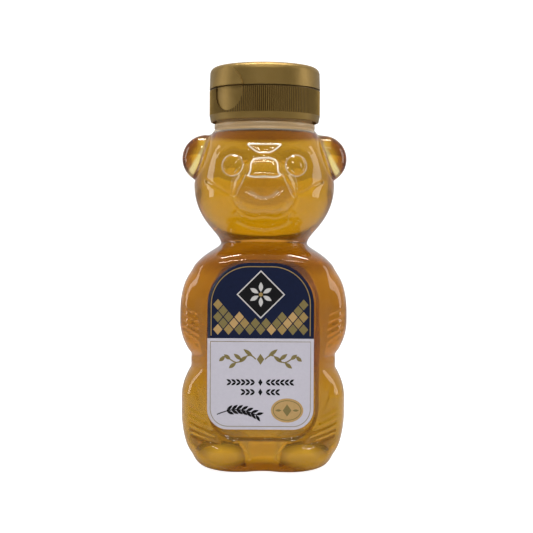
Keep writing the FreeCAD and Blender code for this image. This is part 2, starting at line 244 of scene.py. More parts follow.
def with_ears(radius, angle, z):
    """Radius of the head and ears together, found by closing in on them from outside."""
    reach = np.full_like(radius, EAR_X + EAR_D)
    for _ in range(EAR_STEPS):
        x = np.abs(reach * np.cos(angle))
        y = reach * np.sin(angle)
        disc = np.hypot(x - EAR_X, z - EAR_Z) / (EAR_D / 2)
        deep = np.abs(y - EAR_Y) / (EAR_T / 2)
        size = (disc ** EAR_SQUARE + deep ** EAR_SQUARE) ** (1 / EAR_SQUARE)
        rise = np.hypot((disc / size) ** (EAR_SQUARE - 1) / EAR_D, (deep / size) ** (EAR_SQUARE - 1) / EAR_T)
        to_ear = (size - 1) / (2 * rise)
        to_head = reach - radius
        closeness = np.maximum(EAR_FILLET - np.abs(to_ear - to_head), 0) / EAR_FILLET
        reach = reach - (np.minimum(to_ear, to_head) - closeness ** 2 * EAR_FILLET / 4)
    return reach


# Panel for the label, pressed flat into the belly
LABEL_WIDTH, LABEL_H, LABEL_LOW = 36.8, 57.7, 16.2
LABEL_TOP_R, LABEL_FOOT_R = 14.5, 7.2
LABEL_SHIFT = -0.9
PANEL_MARGIN, PANEL_SILL, PANEL_FOOT_R, PANEL_DEPTH = 1.1, 4.0, 11.0, 1.3
PANEL_EDGE = 1.0
LEAST_AHEAD = 0.01


def with_panel(radius, angle, z):
    """Radius of the skin after the label's panel is pressed in."""
    ahead = np.maximum(-np.sin(angle), LEAST_AHEAD)
    flat = (BELLY_REACH - PANEL_DEPTH) / ahead
    inside = within_outline(
        radius * np.cos(angle),
        z,
        LABEL_WIDTH / 2 + PANEL_MARGIN,
        LABEL_LOW - PANEL_SILL,
        LABEL_LOW + LABEL_H + PANEL_MARGIN,
        PANEL_FOOT_R,
        LABEL_TOP_R + PANEL_MARGIN,
    )
    pressed = radius + (flat - radius) * ease(inside / PANEL_EDGE)
    return np.where(np.sin(angle) < 0, np.minimum(radius, pressed), radius)


def skin(angle, z):
    """Outer radius of the moulded bear at angles about the neck's axis and heights."""
    across, ahead = np.cos(angle), -np.sin(angle)
    front = ahead > 0
    torso_width = torso_half(z, BASE_WIDTH / 2, LEG_SPAN / 2, ARM_SPAN / 2, LEG_Z, ARM_Z)
    width = outline_half(z, torso_width, CREASE_WIDTH / 2, HEAD_WIDTH / 2)
    belly = torso_half(z, BASE_REACH, BELLY_REACH, BELLY_REACH, TOE_ROUND_H, CHEST_Z)
    back = torso_half(z, BASE_REACH, BACK_REACH, BACK_REACH, TOE_ROUND_H, ARM_Z)
    depth = outline_half(z, np.where(front, belly, back), CREASE_REACH, HEAD_REACH)
    front_square = FOOT_SQUARE + (FRONT_SQUARE - FOOT_SQUARE) * ease(z / TOE_ROUND_H)
    square = np.where(front, front_square, BACK_SQUARE)
    power = square + (2 - square) * ease((z - CHEST_Z) / (TORSO_H - CHEST_Z))
    radius = (np.abs(across / width) ** power + np.abs(ahead / depth) ** power) ** (-1 / power)
    groove_half = np.clip((np.abs(z - WAIST_Z) - WAIST_FLAT) / (WAIST_SPREAD - WAIST_FLAT), 0, 1)
    groove_end = ease((np.abs(radius * across) / width - WAIST_FROM) / WAIST_FADE)
    radius = radius - WAIST_GROOVE * (1 - groove_half) ** 2 * groove_end
    radius = radius + np.where(front, relief(radius * across, z), 0)
    radius = radius - EAR_DENT * bump(radius * ahead + DENT_Y, z - EAR_Z, DENT_WIDTH, DENT_H, 2, 1)
    return with_panel(with_ears(radius, angle, z), angle, z)


COLUMNS = 400
FINE_ANGLES = 7201
FRONT_CROWD, FRONT_FADE = 3.0, 2
EAR_CROWD, EAR_REACH, EAR_FADE = 3.0, 2, 6
STEEPEST = 2.5
BASE_RINGS = 16
BASE_SHARES = (0.05, 0.98)
ROW_BANDS = ((0, 2.2, 0.22), (2.2, 32, 0.5), (32, 72, 0.8), (72, 84, 0.5), (84, 117, 0.36), (117, 121.5, 0.5))


def crowded_angles(count):
    """Angles all round the bear, closer together across its front and at its ears."""
    fine = np.linspace(-math.pi, math.pi, FINE_ANGLES)
    back = np.sin(fine)
    crowd = 1 + FRONT_CROWD * ease(-FRONT_FADE * back)
    crowd += EAR_CROWD * ease(EAR_REACH - EAR_FADE * np.abs(back))
    passed = np.concatenate(([0], np.cumsum(crowd[1:])))
    return np.interp(np.arange(count) / count, passed / passed[-1], fine)


def skin_heights(spread):
    """Heights of the rows of the skin, closest together over the face and the feet."""
    rows = []
    for low, high, gap in ROW_BANDS:
        rows.append(np.linspace(low, high, int((high - low) / gap / spread), endpoint=False))
    return np.concatenate(rows + [[NECK_FOOT_Z]])


def set_in(radius, angle, z, inset):
    """Radius of the surface that lies inset under the skin, and deeper where the neck is thick."""
    rise = np.gradient(radius, z[:, 0], axis=0)
    swing = np.gradient(np.pad(radius, ((0, 0), (1, 1)), mode="wrap"), axis=1)[:, 1:-1]
    turn = np.gradient(np.unwrap(np.pad(angle[0], 1, mode="wrap")))[1:-1]
    slope = np.hypot(rise, swing / turn / radius)
    depth = inset * np.sqrt(1 + np.minimum(slope, STEEPEST) ** 2)
    neck_depth = inset - WALL + (NECK_FOOT_D - BORE_D) / 2
    thick = ease((z - NECK_FOOT_Z) / NECK_THICKEN_H + 1)
    return radius - depth - (neck_depth - depth) * thick


def dome_height(radius, inset):
    """Height of the pushed-up middle of the base at a radius."""
    ball = ((DOME_D / 2) ** 2 + DOME_H ** 2) / (2 * DOME_H)
    return DOME_H - ball + np.sqrt(np.maximum((ball + inset) ** 2 - radius ** 2, 0))


def base_rings(rim, floor_z, inset):
    """Rings of the base from its middle out to a rim, flat but for the dome."""
    rings = []
    for share in np.linspace(*BASE_SHARES, BASE_RINGS):
        radius = share * (DOME_D / 2 * (1 - share) + rim * share)
        rings.append((radius, np.maximum(dome_height(radius, inset), floor_z)))
    return rings


def add_mesh(name, vertices, faces, sharp_angle):
    """Object with a smooth-shaded mesh, sharp where its faces meet at more than an angle."""
    mesh = bpy.data.meshes.new(name)
    mesh.from_pydata((np.array(vertices) * MM).tolist(), [], faces)
    mesh.polygons.foreach_set("use_smooth", [True] * len(mesh.polygons))
    mesh.set_sharp_from_angle(angle=math.radians(sharp_angle))
    piece = bpy.data.objects.new(name, mesh)
    bpy.context.collection.objects.link(piece)
    return piece


def ringed_mesh(name, angle, rings, second=range(0)):
    """Closed mesh through rings of points about the neck's axis, from one pole to the other.

    Faces above the second rings take the piece's second material.
    """
    points = []
    for radius, z in rings:
        radius = radius + 0 * angle
        points.append(np.stack((radius * np.cos(angle), radius * np.sin(angle), z + 0 * angle), axis=-1))
    count = len(angle)
    poles = np.array(((0, 0, points[0][:, 2].mean()), (0, 0, points[-1][:, 2].mean())))
    here = np.arange(count)
    following = (here + 1) % count
    faces = []
    for row in range(len(rings) - 1):
        low, high = row * count, (row + 1) * count
        faces += np.stack((low + here, low + following, high + following, high + here), axis=-1).tolist()
    last = (len(rings) - 1) * count
    low_end, high_end = len(rings) * count, len(rings) * count + 1
    faces += np.stack((following, here, 0 * here + low_end), axis=-1).tolist()
    faces += np.stack((last + here, last + following, 0 * here + high_end), axis=-1).tolist()
    piece = add_mesh(name, np.concatenate(points + [poles]), faces, sharp_angle=50)
    choice = np.zeros(len(faces), dtype=int)
    choice[second.start * count:second.stop * count] = 1
    piece.data.polygons.foreach_set("material_index", choice)
    return piece


HONEY_TOP = 120.5
INNER_SPREAD = 4
angle_row = crowded_angles(COLUMNS)
heights = skin_heights(1)
angle_grid, height_grid = np.meshgrid(angle_row, heights)
skin_grid = skin(angle_grid, height_grid)
inner_heights = np.maximum(skin_heights(INNER_SPREAD), BASE_WALL)
inner_grid = set_in(skin_grid, angle_grid, height_grid, WALL)
inner_rows = [np.array([np.interp(z, heights, column) for column in inner_grid.T]) for z in inner_heights]

THREAD_PITCH = 4.233
THREAD_TURNS = 1.6
THREAD_LOW = 125.4
THREAD_PROUD = 1.0
THREAD_HALF = 0.95
THREAD_FADE = 0.1
THREAD_SQUARE, THREAD_CURVE = 4, 0.5
THREAD_ROW = 0.3


def thread_height(angle, z):
    """Height of the neck's thread, one bead that climbs as it goes round and runs out at both ends."""
    height = 0 * angle
    for start in range(math.ceil(THREAD_TURNS) + 1):
        turn = angle / (2 * math.pi) + start
        fade = ease(turn / THREAD_FADE) * ease((THREAD_TURNS - turn) / THREAD_FADE)
        away = (z - THREAD_LOW - THREAD_PITCH * turn) / THREAD_HALF
        bead = THREAD_PROUD * fade * np.maximum(1 - away ** THREAD_SQUARE, 0) ** THREAD_CURVE
        height = np.maximum(height, bead)
    return height


bottle_rings = base_rings(skin_grid[0], 0, 0)
bottle_rings += [(row, z) for row, z in zip(skin_grid, heights)]
bottle_rings += [
    (BEAD_D / 2 - EDGE_R, NECK_FOOT_Z + BEAD_LIFT),
    (BEAD_D / 2, NECK_FOOT_Z + EDGE_R),
    (BEAD_D / 2, NECK_FOOT_Z + BEAD_H - EDGE_R),
    (BEAD_D / 2 - EDGE_R, NECK_FOOT_Z + BEAD_H),
    (NECK_D / 2 + EDGE_R, NECK_FOOT_Z + BEAD_H),
]
for z in np.arange(NECK_FOOT_Z + BEAD_H + EDGE_R, LIP_Z - EDGE_R, THREAD_ROW):
    bottle_rings.append((NECK_D / 2 + thread_height(angle_row, z), z))
bottle_rings += [
    (NECK_D / 2, LIP_Z - EDGE_R),
    (NECK_D / 2 - EDGE_R, LIP_Z),
    (BORE_D / 2 + EDGE_R, LIP_Z),
    (BORE_D / 2, LIP_Z - EDGE_R),
]
dry_count = len(bottle_rings) + int(np.sum(inner_heights > HONEY_TOP))
bottle_rings += list(zip(inner_rows, inner_heights))[::-1]
bottle_rings += base_rings(inner_rows[0], BASE_WALL, BASE_WALL)[::-1]
bottle = ringed_mesh("pet_bottle", angle_row, bottle_rings, range(dry_count, len(bottle_rings)))

# Crests of the sharpest lines, painted white as highlights where they catch the light: half-width, strength
# of the painted highlight, and points across and up
EYE_X, EYE_Z, EYE_RING_R = 11.05, 107.6, 3.7
OFF_FACE = 1000.0
eye_ring = [
    (EYE_X + EYE_RING_R * math.cos(turn), EYE_Z + EYE_RING_R * math.sin(turn))
    for turn in np.linspace(0, 2 * math.pi, 25)
]
CREST_HIGHLIGHTS = (
    (0.34, 0.9, NOSE_LINE),
    (0.34, 0.9, TUFT_LINE),
    (0.3, 0.35, eye_ring),
    (0.9, 0.2, ((0, 96.1), (2.4, 96.6), (4.6, 98.2))),  # smile
    (1.3, 0.06, ((0, 91.6), (4.2, 91.3), (7.6, 92.8), (9.2, 94.6))),  # lower lip
)
front_x = np.where(angle_grid < 0, np.abs(skin_grid * np.cos(angle_grid)), OFF_FACE)
crest_highlight_grid = 0 * skin_grid
for half, highlight_share, points in CREST_HIGHLIGHTS:
    crest_highlight_grid = np.maximum(crest_highlight_grid, highlight_share * stroke(front_x, height_grid, points, half))
crest_highlight = np.zeros(len(bottle.data.vertices))
skin_start = BASE_RINGS * COLUMNS
crest_highlight[skin_start:skin_start + crest_highlight_grid.size] = crest_highlight_grid.ravel()
bottle.data.attributes.new("crest_highlight", "FLOAT", "POINT").data.foreach_set("value", crest_highlight)


def linear(hex_colour):
    """Linear colour of an sRGB hex value."""
    shares = [int(hex_colour[i:i + 2], 16) / 255 for i in (1, 3, 5)]
    return [c / 12.92 if c <= 0.04045 else ((c + 0.055) / 1.055) ** 2.4 for c in shares] + [1]


def add_node(tree, kind, inputs=None, **settings):
    """Add a shader node, with its settings, and set or link its inputs."""
    node = tree.nodes.new(kind)
    for name, value in settings.items():
        setattr(node, name, value)
    for name, value in (inputs or {}).items():
        if isinstance(value, bpy.types.NodeSocket):
            tree.links.new(value, node.inputs[name])
        else:
            node.inputs[name].default_value = value
    return node


def new_material(name):
    """An empty node material, its tree and the piece's own coordinates in metres."""
    material = bpy.data.materials.new(name)
    material.use_nodes = True
    tree = material.node_tree
    tree.nodes.clear()
    return material, tree, add_node(tree, "ShaderNodeTexCoord").outputs["Object"]


# Blow-moulded PET is glass-clear with a wet gloss, and the mould leaves a faint waviness that bends
# highlights. The neck, which isn't stretched, is thicker and a little cloudy. The crests of the sharpest
# lines are made cloudy white too, as painted highlights.
WAVE_SIZE, WAVE_H = 7.0, 0.2
NECK_FADE = (119.9, 120.7)
BODY_ROUGH, NECK_ROUGH, NECK_CLOUD = 0.04, 0.27, 0.5
pet, tree, place = new_material("blow_moulded_pet")
wave = add_node(
    tree,
    "ShaderNodeTexNoise",
    {"Vector": place, "Scale": 1 / (WAVE_SIZE * MM), "Detail": 1.0, "Roughness": 0.4},
)
ripple = add_node(
    tree, "ShaderNodeBump", {"Height": wave.outputs[0], "Strength": 0.25, "Distance": WAVE_H * MM}
)
height = add_node(tree, "ShaderNodeSeparateXYZ", {0: place})
neck = add_node(
    tree,
    "ShaderNodeMapRange",
    {"Value": height.outputs["Z"], "From Min": NECK_FADE[0] * MM, "From Max": NECK_FADE[1] * MM},
)
scuff = add_node(
    tree,
    "ShaderNodeMath",
    {0: neck.outputs[0], 1: NECK_ROUGH - BODY_ROUGH, 2: BODY_ROUGH},
    operation="MULTIPLY_ADD",
)
# The crest attribute takes clearness away along the sharpest lines, which paints them white as highlights.
painted_crest_highlight = add_node(tree, "ShaderNodeAttribute", attribute_name="crest_highlight")
cloud_and_crest_highlight = add_node(
    tree,
    "ShaderNodeMath",
    {0: neck.outputs[0], 1: NECK_CLOUD, 2: painted_crest_highlight.outputs["Fac"]},
    operation="MULTIPLY_ADD",
)
clear = add_node(
    tree, "ShaderNodeMath", {0: 1.0, 1: cloud_and_crest_highlight.outputs[0]}, operation="SUBTRACT", use_clamp=True
)
tint = add_node(
    tree,
    "ShaderNodeMix",
    {"Factor": neck.outputs[0], "A": linear("#FDFAF4"), "B": linear("#E8C690")},
    data_type="RGBA",
)
shader = add_node(
    tree,
    "ShaderNodeBsdfPrincipled",
    {
        "Base Color": tint.outputs["Result"],
        "Roughness": scuff.outputs[0],
        "IOR": 1.53,
        "Transmission Weight": clear.outputs[0],
        "Normal": ripple.outputs[0],
    },
)
add_node(tree, "ShaderNodeOutputMaterial", {"Surface": shader.outputs[0]})
bottle.data.materials.append(pet)

# Where honey wets the wall the two bend light almost alike, so that face of the wall can't be seen.
wet_pet, tree, place = new_material("honey_wetted_pet")
shader = add_node(tree, "ShaderNodeBsdfTransparent", {"Color": linear("#FFFFFF")})
add_node(tree, "ShaderNodeOutputMaterial", {"Surface": shader.outputs[0]})
bottle.data.materials.append(wet_pet)
bottle.visible_shadow = False
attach(bottle, "bottle")
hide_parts("bottle")

# Honey: poured in warm, it fills the bear to just under the neck and wets the wall all over, so the bear's
# whole colour is the honey's. It carries a little pollen and fine crystal that makes it faintly cloudy.
HONEY_GAP = 0.05
TOP_SHARES = (0.995, 0.9, 0.6, 0.3)
honey_grid = set_in(skin_grid, angle_grid, height_grid, WALL + HONEY_GAP)
honey_rows = [(row, z) for row, z in zip(honey_grid, heights) if BASE_WALL + HONEY_GAP < z < HONEY_TOP]
honey_rings = base_rings(honey_rows[0][0], BASE_WALL + HONEY_GAP, BASE_WALL + HONEY_GAP)
honey_rings += honey_rows[::2]
honey_rings += [(honey_rows[-1][0] * share, HONEY_TOP) for share in TOP_SHARES]
side_count = len(honey_rings) - len(TOP_SHARES) - 1
honey = ringed_mesh("honey_fill", angle_row, honey_rings, range(side_count, len(honey_rings)))

# Blossom honey is a clear deep amber that goes from yellow to brown with depth, because it swallows blue
# light first. Its surface colour is painted a little redder in the trunk, to stand in for the deeper honey
# that light crosses there, and painted shade darkens it to brown where the wall turns away from the light:
# under the neck, at the chest and base, over the muzzle and round the rims of the ears. A painted pale
# highlight lies in a crescent between each ear and the head, and over the foot pads the honey is made mostly
# diffuse, so that they show painted lit amber. Against the wall it bends no light of its own; its level top
# does.
CLOUD_SIZE = 16.0
DEPTH_COLOUR, DEPTH_DENSITY = (0.865, 0.82, 0.12, 1), 75.0
# Patches of painted shade, painted light and painted depth colour on the honey, on the bear folded to one
# side:
# middle, stretch of the distances from it across, deep and up, the distances that the patch fades between,
# and its strength at these
PATCHES = {
    "off_trunk": ((0, 0, 58.0), (0, 0, 1), (18.0, 31.0), (0.0, 1.0)),
    "dark_base": ((0, 0, 0), (0.3, 0, 1), (4.2, 6.2), (1.0, 0.0)),
    "dark_chest": ((0, 0, 76.0), (0, 0, 1), (3.0, 7.0), (0.8, 0.0)),
    "muzzle": ((0, 0, 98.4), (0.5, 0, 1), (4.4, 5.3), (0.5, 0.0)),
    "ear_rim": ((EAR_X, 0, EAR_Z), (1, 0, 1), (3.4, 5.6), (0.0, 1.0)),
    "clear_off_pads": ((13.5, 0, 6.6), (0.5, 0, 1), (2.2, 5.0), (0.2, 0.8)),
}
# Straight bands of painted shade, and bands that bound the painted patches: direction across, back and up,
# the distances along it that the band fades between, and its strength at these
BANDS = {
    "dark_neck": ((0, -0.12, 1), (117.4, 118.8), (0.0, 1.0)),
    "front": ((0, -1, 0), (0.0, 1.0), (0.0, 1.0)),
    "ear_side": ((1, 0, 0), (23.0, 24.5), (0.0, 1.0)),
    "ear_height": ((0, 0, 1), (101.0, 103.0), (0.0, 1.0)),
    "crescent_from": ((1, 0, 0.59), (87.2, 88.1), (0.0, 0.8)),
    "crescent_to": ((1, 0, 0.59), (89.7, 90.6), (1.0, 0.0)),
    "behind_face": ((0, 1, 0), (-5.0, -3.5), (0.0, 1.0)),
}
# Patches and bands that hold only where they overlap
OVERLAPS = {
    "dark_muzzle": ("muzzle", "front"),
    "dark_ear": ("ear_rim", "ear_side", "ear_height"),
    "pale_ear": ("crescent_from", "crescent_to", "behind_face"),
}
amber, tree, place = new_material("clear_honey")
spot = add_node(tree, "ShaderNodeSeparateXYZ", {0: place})
one_side = add_node(tree, "ShaderNodeMath", {0: spot.outputs["X"]}, operation="ABSOLUTE")
folded = add_node(
    tree, "ShaderNodeCombineXYZ", {0: one_side.outputs[0], 1: spot.outputs["Y"], 2: spot.outputs["Z"]}
)
reaches = {}
for name, (middle, stretch, fade, strength) in PATCHES.items():
    centre = [size * MM for size in middle]
    off = add_node(tree, "ShaderNodeVectorMath", {0: folded.outputs[0], 1: centre}, operation="SUBTRACT")
    flat = add_node(tree, "ShaderNodeVectorMath", {0: off.outputs[0], 1: stretch}, operation="MULTIPLY")
    away = add_node(tree, "ShaderNodeVectorMath", {0: flat.outputs[0]}, operation="LENGTH")
    reaches[name] = (away, fade, strength)
for name, (direction, fade, strength) in BANDS.items():
    along = add_node(
        tree, "ShaderNodeVectorMath", {0: folded.outputs[0], 1: direction}, operation="DOT_PRODUCT"
    )
    reaches[name] = (along, fade, strength)
shares = {}
for name, (reach, (near, far), (first, last)) in reaches.items():
    fading = {"From Min": near * MM, "From Max": far * MM, "To Min": first, "To Max": last}
    shares[name] = add_node(tree, "ShaderNodeMapRange", {"Value": reach.outputs["Value"], **fading})
for name, parts in OVERLAPS.items():
    share = shares[parts[0]]
    for part in parts[1:]:
        both = {0: share.outputs[0], 1: shares[part].outputs[0]}
        share = add_node(tree, "ShaderNodeMath", both, operation="MULTIPLY")
    shares[name] = share
# Painted shade: the dark patches and bands darken the honey's surface colour towards brown.
dark = shares["dark_neck"]
for name in ("dark_ear", "dark_muzzle", "dark_chest", "dark_base"):
    both = {0: dark.outputs[0], 1: shares[name].outputs[0]}
    dark = add_node(tree, "ShaderNodeMath", both, operation="MAXIMUM")
cloud = add_node(
    tree, "ShaderNodeTexNoise", {"Vector": place, "Scale": 1 / (CLOUD_SIZE * MM), "Detail": 3.0}
)
# The trunk's redder amber is painted depth colour, standing in for the deeper honey that the light crosses
# there.
trunk_amber = add_node(
    tree,
    "ShaderNodeMix",
    {"Factor": cloud.outputs[0], "A": linear("#DA9224"), "B": linear("#E6A638")},
    data_type="RGBA",
)
thin_amber = add_node(
    tree,
    "ShaderNodeMix",
    {"Factor": cloud.outputs[0], "A": linear("#E0AA22"), "B": linear("#ECBE3C")},
    data_type="RGBA",
)
lit = add_node(
    tree,
    "ShaderNodeMix",
    {
        "Factor": shares["off_trunk"].outputs[0],
        "A": trunk_amber.outputs["Result"],
        "B": thin_amber.outputs["Result"],
    },
    data_type="RGBA",
)
shaded = add_node(
    tree,
    "ShaderNodeMix",
    {"Factor": dark.outputs[0], "A": lit.outputs["Result"], "B": linear("#92520E")},
    data_type="RGBA",
)
# Painted highlight: a pale cream crescent between each ear and the head.
painted_pale_ear = add_node(
    tree,
    "ShaderNodeMix",
    {"Factor": shares["pale_ear"].outputs[0], "A": shaded.outputs["Result"], "B": linear("#F6EEC8")},
    data_type="RGBA",
)
# Over the foot pads the honey is mostly diffuse, so the pads show painted lit amber in place of the dark
# refraction there.
shader = add_node(
    tree,
    "ShaderNodeBsdfPrincipled",
    {
        "Base Color": painted_pale_ear.outputs["Result"],
        "Roughness": 0.0,
        "IOR": 1.0,
        "Transmission Weight": shares["clear_off_pads"].outputs[0],
    },
)
depth = add_node(tree, "ShaderNodeVolumeAbsorption", {"Color": DEPTH_COLOUR, "Density": DEPTH_DENSITY})
add_node(tree, "ShaderNodeOutputMaterial", {"Surface": shader.outputs[0], "Volume": depth.outputs[0]})
honey.data.materials.append(amber)

# The level top of the honey is as smooth as glass and mirrors the underside of the cap.
still, tree, place = new_material("honey_surface")
shader = add_node(
    tree,
    "ShaderNodeBsdfPrincipled",
    {"Base Color": linear("#FFFFFF"), "Roughness": 0.0, "IOR": 1.49, "Transmission Weight": 1.0},
)
depth = add_node(tree, "ShaderNodeVolumeAbsorption", {"Color": DEPTH_COLOUR, "Density": DEPTH_DENSITY})
add_node(tree, "ShaderNodeOutputMaterial", {"Surface": shader.outputs[0], "Volume": depth.outputs[0]})
honey.data.materials.append(still)
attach(honey, "bottle")
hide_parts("honey")

# Front label: a die-cut sheet of uncoated paper, glued into the panel and printed in flat inks. Each ink lies
# on the paper as a film of its own. The artwork is plain ornament: a trellis, a lozenge, sprigs and an oval.
PAPER_T, INK_T = 0.14, 0.02
PAPER_BACK = BELLY_REACH - PANEL_DEPTH
PAPER_FRONT = PAPER_BACK + PAPER_T
FIELD_LOW = 47.8
RULE_STEPS = 14
LEAF_STEPS = 8
# Paper and inks: darkest and lightest colour, roughness and share of metal
FINISHES = (
    ("label_paper", "#CECAD5", "#DBD7E2", 0.75, 0.0),
    ("navy_ink", "#081330", "#0F1D42", 0.6, 0.0),
    ("gold_ink", "#A88B52", "#BC9F66", 0.45, 0.35),
    ("olive_ink", "#857648", "#978858", 0.48, 0.3),
    ("buff_ink", "#C6A065", "#D6B27A", 0.5, 0.25),
    ("black_ink", "#08080B", "#131216", 0.6, 0.0),
    ("pale_ink", "#C9C6C4", "#DDDAD8", 0.6, 0.0),
)
INKS = [finish[0] for finish in FINISHES]
label_points = []
label_faces = []
label_inks = []


def rounded_outline(half, low, high, low_r, high_r, inset=0.0):
    """Upright outline with rounded corners, anticlockwise from its lower right corner."""
    corners = (
        (half - low_r, low + low_r, low_r, -90),
        (half - high_r, high - high_r, high_r, 0),
        (high_r - half, high - high_r, high_r, 90),
        (low_r - half, low + low_r, low_r, 180),
    )
    points = []
    for x, z, radius, first in corners:
        steps = RULE_STEPS if radius else 0
        for step in range(steps + 1):
            turn = math.radians(first + 90 * step / max(steps, 1))
            points.append((x + (radius - inset) * math.cos(turn), z + (radius - inset) * math.sin(turn)))
    return points


def lay_ink(ink, layer, outline):
    """Add a thin closed plate with an anticlockwise outline to the label."""
    back = PAPER_FRONT + INK_T * layer
    front = back + INK_T
    if ink == "label_paper":
        back, front = PAPER_BACK, PAPER_FRONT
    start, count = len(label_points), len(outline)
    label_points.extend((x + LABEL_SHIFT, -reach, z) for reach in (back, front) for x, z in outline)
    label_faces.append(list(range(start + count - 1, start - 1, -1)))
    label_faces.append(list(range(start + count, start + 2 * count)))
    for i in range(count):
        here, after = start + i, start + (i + 1) % count
        label_faces.append([here + count, here, after, after + count])
    label_inks.extend([INKS.index(ink)] * (count + 2))


def lay_rule(ink, layer, points, width):
    """Add a printed line through some points as a row of short plates with mitred ends."""
    line = np.array(points, float)
    ahead = np.gradient(line, axis=0)
    ahead /= np.linalg.norm(ahead, axis=1, keepdims=True)
    across = np.stack((-ahead[:, 1], ahead[:, 0]), axis=1) * width / 2
    right, left = line - across, line + across
    for i in range(len(line) - 1):
        lay_ink(ink, layer, (right[i], right[i + 1], left[i + 1], left[i]))


def lozenge(x, z, half_width, half_height):
    """Outline of a lozenge."""
    return ((x + half_width, z), (x, z + half_height), (x - half_width, z), (x, z - half_height))


def round_outline(x, z, half_width, half_height, count=36):
    """Outline of an oval."""
    turns = [2 * math.pi * i / count for i in range(count)]
    return [(x + half_width * math.cos(turn), z + half_height * math.sin(turn)) for turn in turns]


def leaf(x, z, length, width, turn):
    """Outline of a pointed leaf that grows from a point in a direction."""
    shares = [i / LEAF_STEPS for i in range(LEAF_STEPS + 1)]
    edge = [(length * s, -width / 2 * math.sin(math.pi * s)) for s in shares]
    edge += [(length * s, width / 2 * math.sin(math.pi * s)) for s in shares[-2:0:-1]]
    c, s = math.cos(math.radians(turn)), math.sin(math.radians(turn))
    return [(x + a * c - b * s, z + a * s + b * c) for a, b in edge]


# The sheet, and the navy field that fills its upper half, with a thin gold rule inside its edge
ARCH_INSET, ARCH_LIFT, ARCH_RULE = 1.3, 0.9, 0.3
half = LABEL_WIDTH / 2
high = LABEL_LOW + LABEL_H
lay_ink("label_paper", 0, rounded_outline(half, LABEL_LOW, high, LABEL_FOOT_R, LABEL_TOP_R))
lay_ink("navy_ink", 0, rounded_outline(half, FIELD_LOW, high, 0, LABEL_TOP_R))
arch = rounded_outline(half, FIELD_LOW, high, 0, LABEL_TOP_R, ARCH_INSET)
arch_x, arch_z = half - ARCH_INSET, FIELD_LOW + ARCH_LIFT
lay_rule("gold_ink", 1, [(arch_x, arch_z)] + arch[1:-1] + [(-arch_x, arch_z)], ARCH_RULE)

# Trellis of lozenges along the field's foot, which climbs towards its sides
CELL_WIDTH, CELL_H, CELL_FOOT = 3.7, 4.3, 3.1
CELL_GAPS, CELL_MARGIN = (0.22, 0.25), 3.4
CELL_INKS = ("olive_ink", "gold_ink", "olive_ink", "buff_ink", "olive_ink")
CELL_CLIMB = ((0, 0), (1, 0), (2, 6.5), (3, 9.5), (4, 12.5))
for row, clear in CELL_CLIMB:
    for column in range(-5, 6):
        x = CELL_WIDTH * (column + 0.5 * (row % 2))
        z = FIELD_LOW + CELL_FOOT + CELL_H / 2 * row
        if clear <= abs(x) < half - CELL_MARGIN:
            ink = CELL_INKS[(3 * column + 2 * row) % len(CELL_INKS)]
            lay_ink(ink, 1, lozenge(x, z, CELL_WIDTH / 2 - CELL_GAPS[0], CELL_H / 2 - CELL_GAPS[1]))

# Black lozenge with a pale rim and a six-petalled flower
MEDAL_Z, MEDAL_HALF, MEDAL_RIM = 63.0, 8.4, 0.6
PETAL_START, PETAL_LENGTH, PETAL_WIDTH, SEED_R = 0.9, 3.4, 1.5, 0.7
lay_ink("pale_ink", 1, lozenge(0, MEDAL_Z, MEDAL_HALF, MEDAL_HALF))
lay_ink("black_ink", 2, lozenge(0, MEDAL_Z, MEDAL_HALF - MEDAL_RIM, MEDAL_HALF - MEDAL_RIM))
for turn in range(30, 390, 60):
    x, z = PETAL_START * math.cos(math.radians(turn)), PETAL_START * math.sin(math.radians(turn))
    lay_ink("pale_ink", 3, leaf(x, MEDAL_Z + z, PETAL_LENGTH, PETAL_WIDTH, turn))
lay_ink("gold_ink", 3, round_outline(0, MEDAL_Z, SEED_R, SEED_R, 16))

# Olive sprigs to both sides of a small lozenge, across the paper's upper part
SPRIG_Z, SPRIG_START, SPRIG_LENGTH, SPRIG_SWAY, SPRIG_STEM = 40.6, 1.6, 11.6, 1.5, 0.42
SPRIG_LEAF, SPRIG_TAPER, SPRIG_LEAF_WIDTH, SPRIG_SPLAY = 4.4, 0.16, 1.35, 38
SPRIG_POINTS, SPRIG_HALF_WAVES, SPRIG_CALM, SPRIG_BUD = 13, 2.6, 0.4, (1.3, 1.9)
for side in (-1, 1):
    stem = []
    for share in np.linspace(0, 1, SPRIG_POINTS):
        sway = SPRIG_SWAY * math.sin(SPRIG_HALF_WAVES * math.pi * share) * (1 - SPRIG_CALM * share)
        stem.append((side * (SPRIG_START + SPRIG_LENGTH * share), SPRIG_Z + sway))
    lay_rule("olive_ink", 0, stem, SPRIG_STEM)
    for i in range(1, SPRIG_POINTS - 1, 2):
        turn = SPRIG_SPLAY if i % 4 == 1 else -SPRIG_SPLAY
        turn = turn if side > 0 else 180 - turn
        lay_ink("olive_ink", 1, leaf(*stem[i], SPRIG_LEAF - SPRIG_TAPER * i, SPRIG_LEAF_WIDTH, turn))
lay_ink("olive_ink", 0, lozenge(0, SPRIG_Z, *SPRIG_BUD))

# Black garlands of small leaves, in pairs that point to the middle, a long one over a short one
GARLANDS = ((32.6, 6), (29.2, 3))
GARLAND_START, GARLAND_STEP, GARLAND_SPLAY = 1.9, 1.62, 32
GARLAND_BUD, GARLAND_LEAF = (0.75, 1.25), (2.0, 0.8)
for garland_z, count in GARLANDS:
    lay_ink("black_ink", 0, lozenge(0, garland_z, *GARLAND_BUD))
    for side in (-1, 1):
        for i in range(count):
            x = side * (GARLAND_START + GARLAND_STEP * i)
            for splay in (GARLAND_SPLAY, -GARLAND_SPLAY):
                turn = splay if side > 0 else 180 - splay
                lay_ink("black_ink", 0, leaf(x, garland_z, *GARLAND_LEAF, turn))

